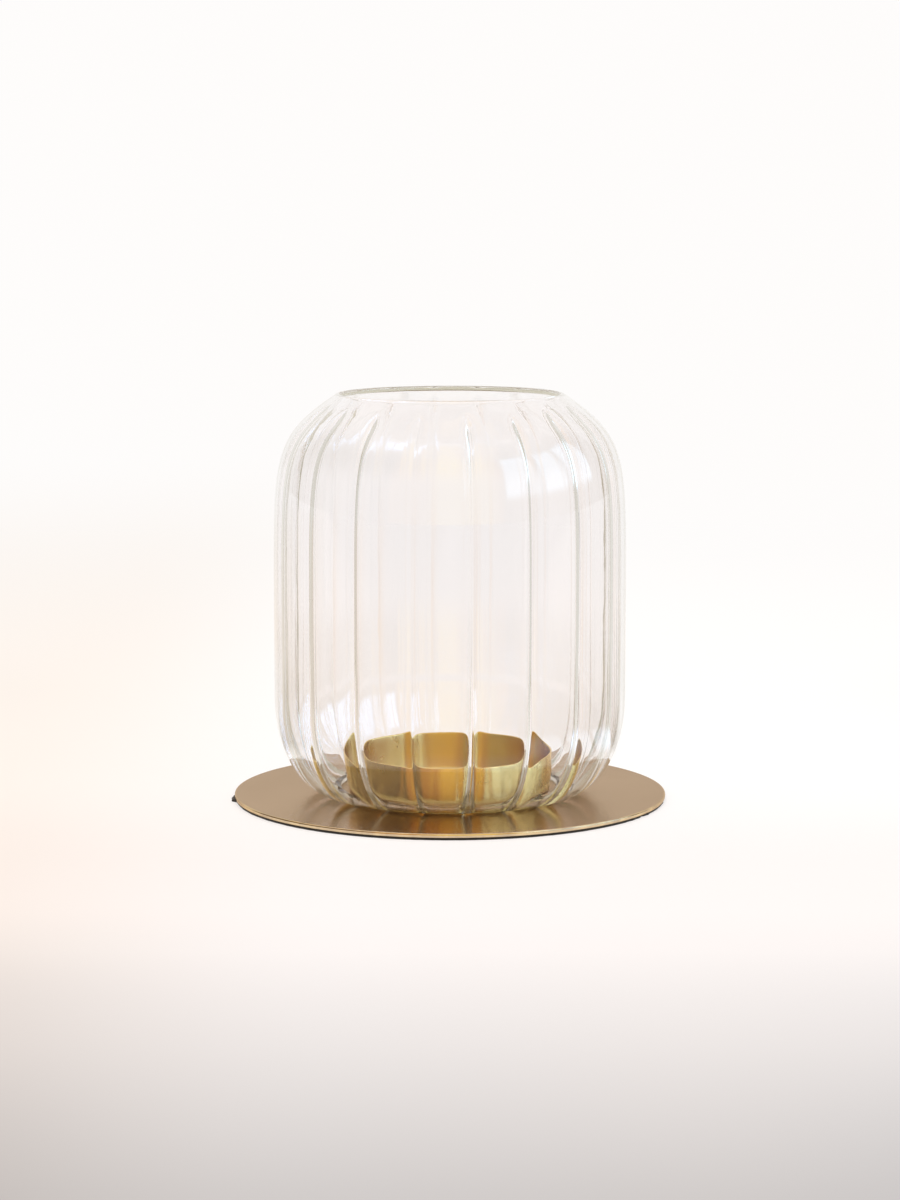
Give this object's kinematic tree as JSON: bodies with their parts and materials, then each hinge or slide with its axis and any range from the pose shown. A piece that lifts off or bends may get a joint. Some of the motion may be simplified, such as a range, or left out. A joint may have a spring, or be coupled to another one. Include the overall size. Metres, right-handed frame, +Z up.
{
  "type": "glass lantern",
  "caption": "Open ribbed glass shade that stands loose on a thin round metal plate, round a shallow candle cup, with a felt pad under the plate.",
  "frame": {"origin": "middle of the underside of the felt pad, on the table", "axes": "+Z up along the lantern's own axis; -Y towards the viewer of the picture; +X to the viewer's right"},
  "size_m": [0.17, 0.17, 0.1597],
  "materials": {
    "clear_glass": "clear blown glass, glossy",
    "warm_brass": "smooth warm brass, softly polished",
    "antique_brass": "satin antique brass with fine turned marks",
    "black_felt": "short black felt"
  },
  "bodies": {
    "base": {"felt_pad": "black_felt", "base_plate": "antique_brass", "candle_cup": "warm_brass"},
    "shade": {"glass_shade": "clear_glass"}
  },
  "joints": [
    {"name": "shade_lift", "type": "slide", "parent": "base", "child": "shade", "axis": [0, 0, 1], "range_m": [0, 0.12]}
  ]
}
